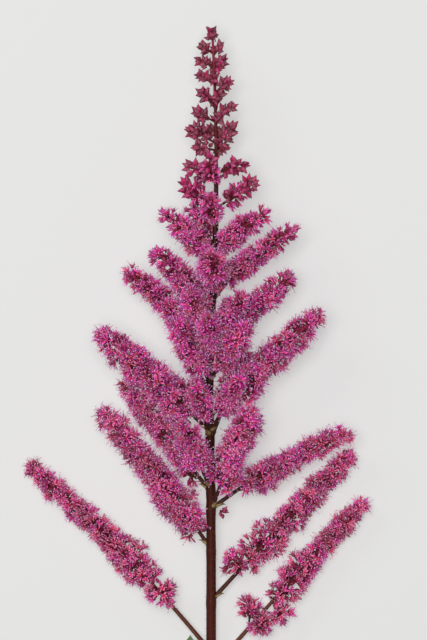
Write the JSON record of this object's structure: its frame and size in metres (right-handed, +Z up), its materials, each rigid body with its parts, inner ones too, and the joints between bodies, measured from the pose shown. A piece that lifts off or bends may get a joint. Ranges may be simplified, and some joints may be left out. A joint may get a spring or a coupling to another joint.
{
  "type": "astilbe flower stem",
  "caption": "Cut astilbe flower stem lying on a flat surface: a feathery plume of many slanting side sprays of small magenta flowers on a slim brown stem.",
  "frame": {"origin": "On the surface the plant lies on, under the middle of its outline seen from above.", "axes": "+Y along the stem from its cut end to its tip, +X to the right seen from above with the tip away, +Z up."},
  "size_m": [0.1206, 0.2675, 0.0434],
  "materials": {
    "stem": "satin",
    "florets": "matte",
    "buds": "matte",
    "leaf": "matte"
  },
  "bodies": {
    "root": {"bunch_left_1": "florets", "bunch_left_3": "florets", "bunch_right_1a": "florets", "bunch_right_1b": "florets", "bunch_right_1c": "florets", "bunch_right_2": "florets", "bunch_right_3": "florets", "leaf": "leaf", "spray_left_1": "florets", "spray_left_10": "florets", "spray_left_11": "florets", "spray_left_2": "florets", "spray_left_3": "florets", "spray_left_4": "florets", "spray_left_5": "florets", "spray_left_6": "florets", "spray_left_7": "florets", "spray_left_8": "florets", "spray_left_9": "florets", "spray_right_1": "florets", "spray_right_10": "florets", "spray_right_11": "florets", "spray_right_12": "florets", "spray_right_2": "florets", "spray_right_3": "florets", "spray_right_4": "florets", "spray_right_5": "florets", "spray_right_6": "florets", "spray_right_7": "florets", "spray_right_8": "florets", "spray_right_9": "florets", "spray_tip": "buds", "spray_top_1": "florets", "spray_top_2": "florets", "spray_top_3": "florets", "spray_under_1": "florets", "spray_under_2": "florets", "spray_under_3": "florets", "spray_under_4": "florets", "spray_under_5": "florets", "spray_upper_1": "florets", "spray_upper_2": "florets", "spray_upper_3": "florets", "spray_upper_4": "florets", "spray_upper_5": "florets", "stem": "stem"}
  },
  "joints": []
}
